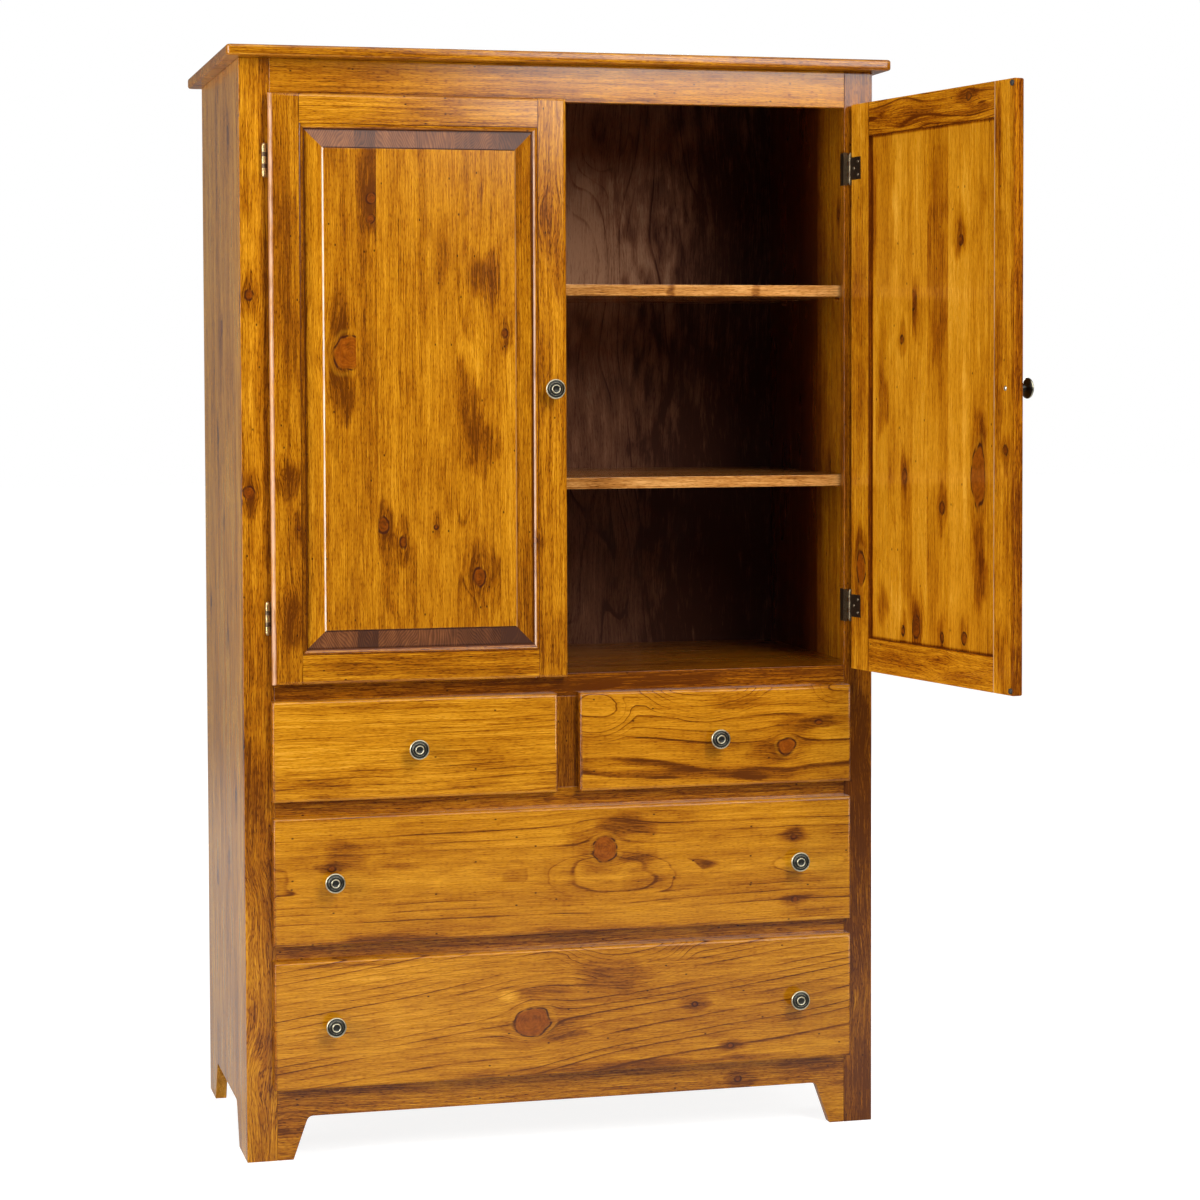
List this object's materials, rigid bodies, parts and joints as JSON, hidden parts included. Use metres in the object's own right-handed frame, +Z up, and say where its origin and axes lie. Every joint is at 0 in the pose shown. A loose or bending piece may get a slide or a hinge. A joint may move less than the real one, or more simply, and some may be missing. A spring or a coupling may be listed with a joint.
{
  "type": "tv armoire",
  "caption": "Tall pine cabinet with raised-panel doors on wrap hinges over shelves, drawers below on runner frames, and bracket feet; stored with one door open.",
  "frame": {"origin": "on the floor, below the middle of the bounding box of the armoire as it stands, with its right door open", "axes": "+X to the viewer's right across the front, +Y from the front to the back, +Z up"},
  "size_m": [1.2032, 1.033, 1.82],
  "materials": {
    "pine": "honey-stained knotty pine under gloss lacquer",
    "side_pine": "stained pine board under satin lacquer",
    "inside_pine": "dark stained pine, satin",
    "plywood": "dark stained rotary-cut plywood, satin",
    "drawer_wood": "plain sanded pine",
    "antique_brass": "antiqued brass, lacquered",
    "bronze": "dark oxidised brass",
    "rubber": "matt dark rubber"
  },
  "bodies": {
    "carcass": {"top_board": "pine", "left_side": "side_pine", "right_side": "side_pine", "back_panel": "plywood", "left_stile": "pine", "right_stile": "pine", "top_rail": "pine", "door_rail": "pine", "upper_drawer_rail": "pine", "lower_drawer_rail": "pine", "bottom_rail": "pine", "centre_muntin": "pine", "cabinet_deck": "inside_pine", "upper_shelf": "inside_pine", "lower_shelf": "inside_pine", "small_drawer_runner_frame": "drawer_wood", "upper_long_drawer_runner_frame": "drawer_wood", "lower_long_drawer_runner_frame": "drawer_wood", "left_upper_hinge_frame_leaf": "antique_brass", "left_lower_hinge_frame_leaf": "antique_brass", "right_upper_hinge_frame_leaf": "antique_brass", "right_lower_hinge_frame_leaf": "antique_brass"},
    "left_door": {"left_door_hinge_stile": "pine", "left_door_meeting_stile": "pine", "left_door_top_rail": "pine", "left_door_bottom_rail": "pine", "left_door_raised_panel": "pine", "left_door_knob": "antique_brass", "left_door_upper_bumper": "rubber", "left_door_lower_bumper": "rubber", "left_upper_hinge_door_leaf": "bronze", "left_lower_hinge_door_leaf": "bronze"},
    "right_door": {"right_door_hinge_stile": "pine", "right_door_meeting_stile": "pine", "right_door_top_rail": "pine", "right_door_bottom_rail": "pine", "right_door_raised_panel": "pine", "right_door_knob": "antique_brass", "right_door_upper_bumper": "rubber", "right_door_lower_bumper": "rubber", "right_upper_hinge_door_leaf": "bronze", "right_lower_hinge_door_leaf": "bronze"},
    "left_small_drawer": {"left_small_drawer_front": "pine", "left_small_drawer_box": "drawer_wood", "left_small_drawer_bottom": "plywood", "left_small_drawer_knob": "antique_brass"},
    "right_small_drawer": {"right_small_drawer_front": "pine", "right_small_drawer_box": "drawer_wood", "right_small_drawer_bottom": "plywood", "right_small_drawer_knob": "antique_brass"},
    "upper_long_drawer": {"upper_long_drawer_front": "pine", "upper_long_drawer_box": "drawer_wood", "upper_long_drawer_bottom": "plywood", "upper_long_drawer_left_knob": "antique_brass", "upper_long_drawer_right_knob": "antique_brass"},
    "lower_long_drawer": {"lower_long_drawer_front": "pine", "lower_long_drawer_box": "drawer_wood", "lower_long_drawer_bottom": "plywood", "lower_long_drawer_left_knob": "antique_brass", "lower_long_drawer_right_knob": "antique_brass"}
  },
  "joints": [
    {"name": "left_door_hinge", "type": "hinge", "parent": "carcass", "child": "left_door", "pos_m": [-0.53858, -0.02779, 1.26525], "axis": [0, 0, -1], "range_deg": [0, 120]},
    {"name": "right_door_hinge", "type": "hinge", "parent": "carcass", "child": "right_door", "pos_m": [0.46142, -0.02779, 1.26525], "axis": [0, 0, 1], "range_deg": [-101.5, 18.5]},
    {"name": "left_small_drawer_slide", "type": "slide", "parent": "carcass", "child": "left_small_drawer", "axis": [0, -1, 0], "range_m": [0, 0.36]},
    {"name": "right_small_drawer_slide", "type": "slide", "parent": "carcass", "child": "right_small_drawer", "axis": [0, -1, 0], "range_m": [0, 0.36]},
    {"name": "upper_long_drawer_slide", "type": "slide", "parent": "carcass", "child": "upper_long_drawer", "axis": [0, -1, 0], "range_m": [0, 0.36]},
    {"name": "lower_long_drawer_slide", "type": "slide", "parent": "carcass", "child": "lower_long_drawer", "axis": [0, -1, 0], "range_m": [0, 0.36]}
  ]
}
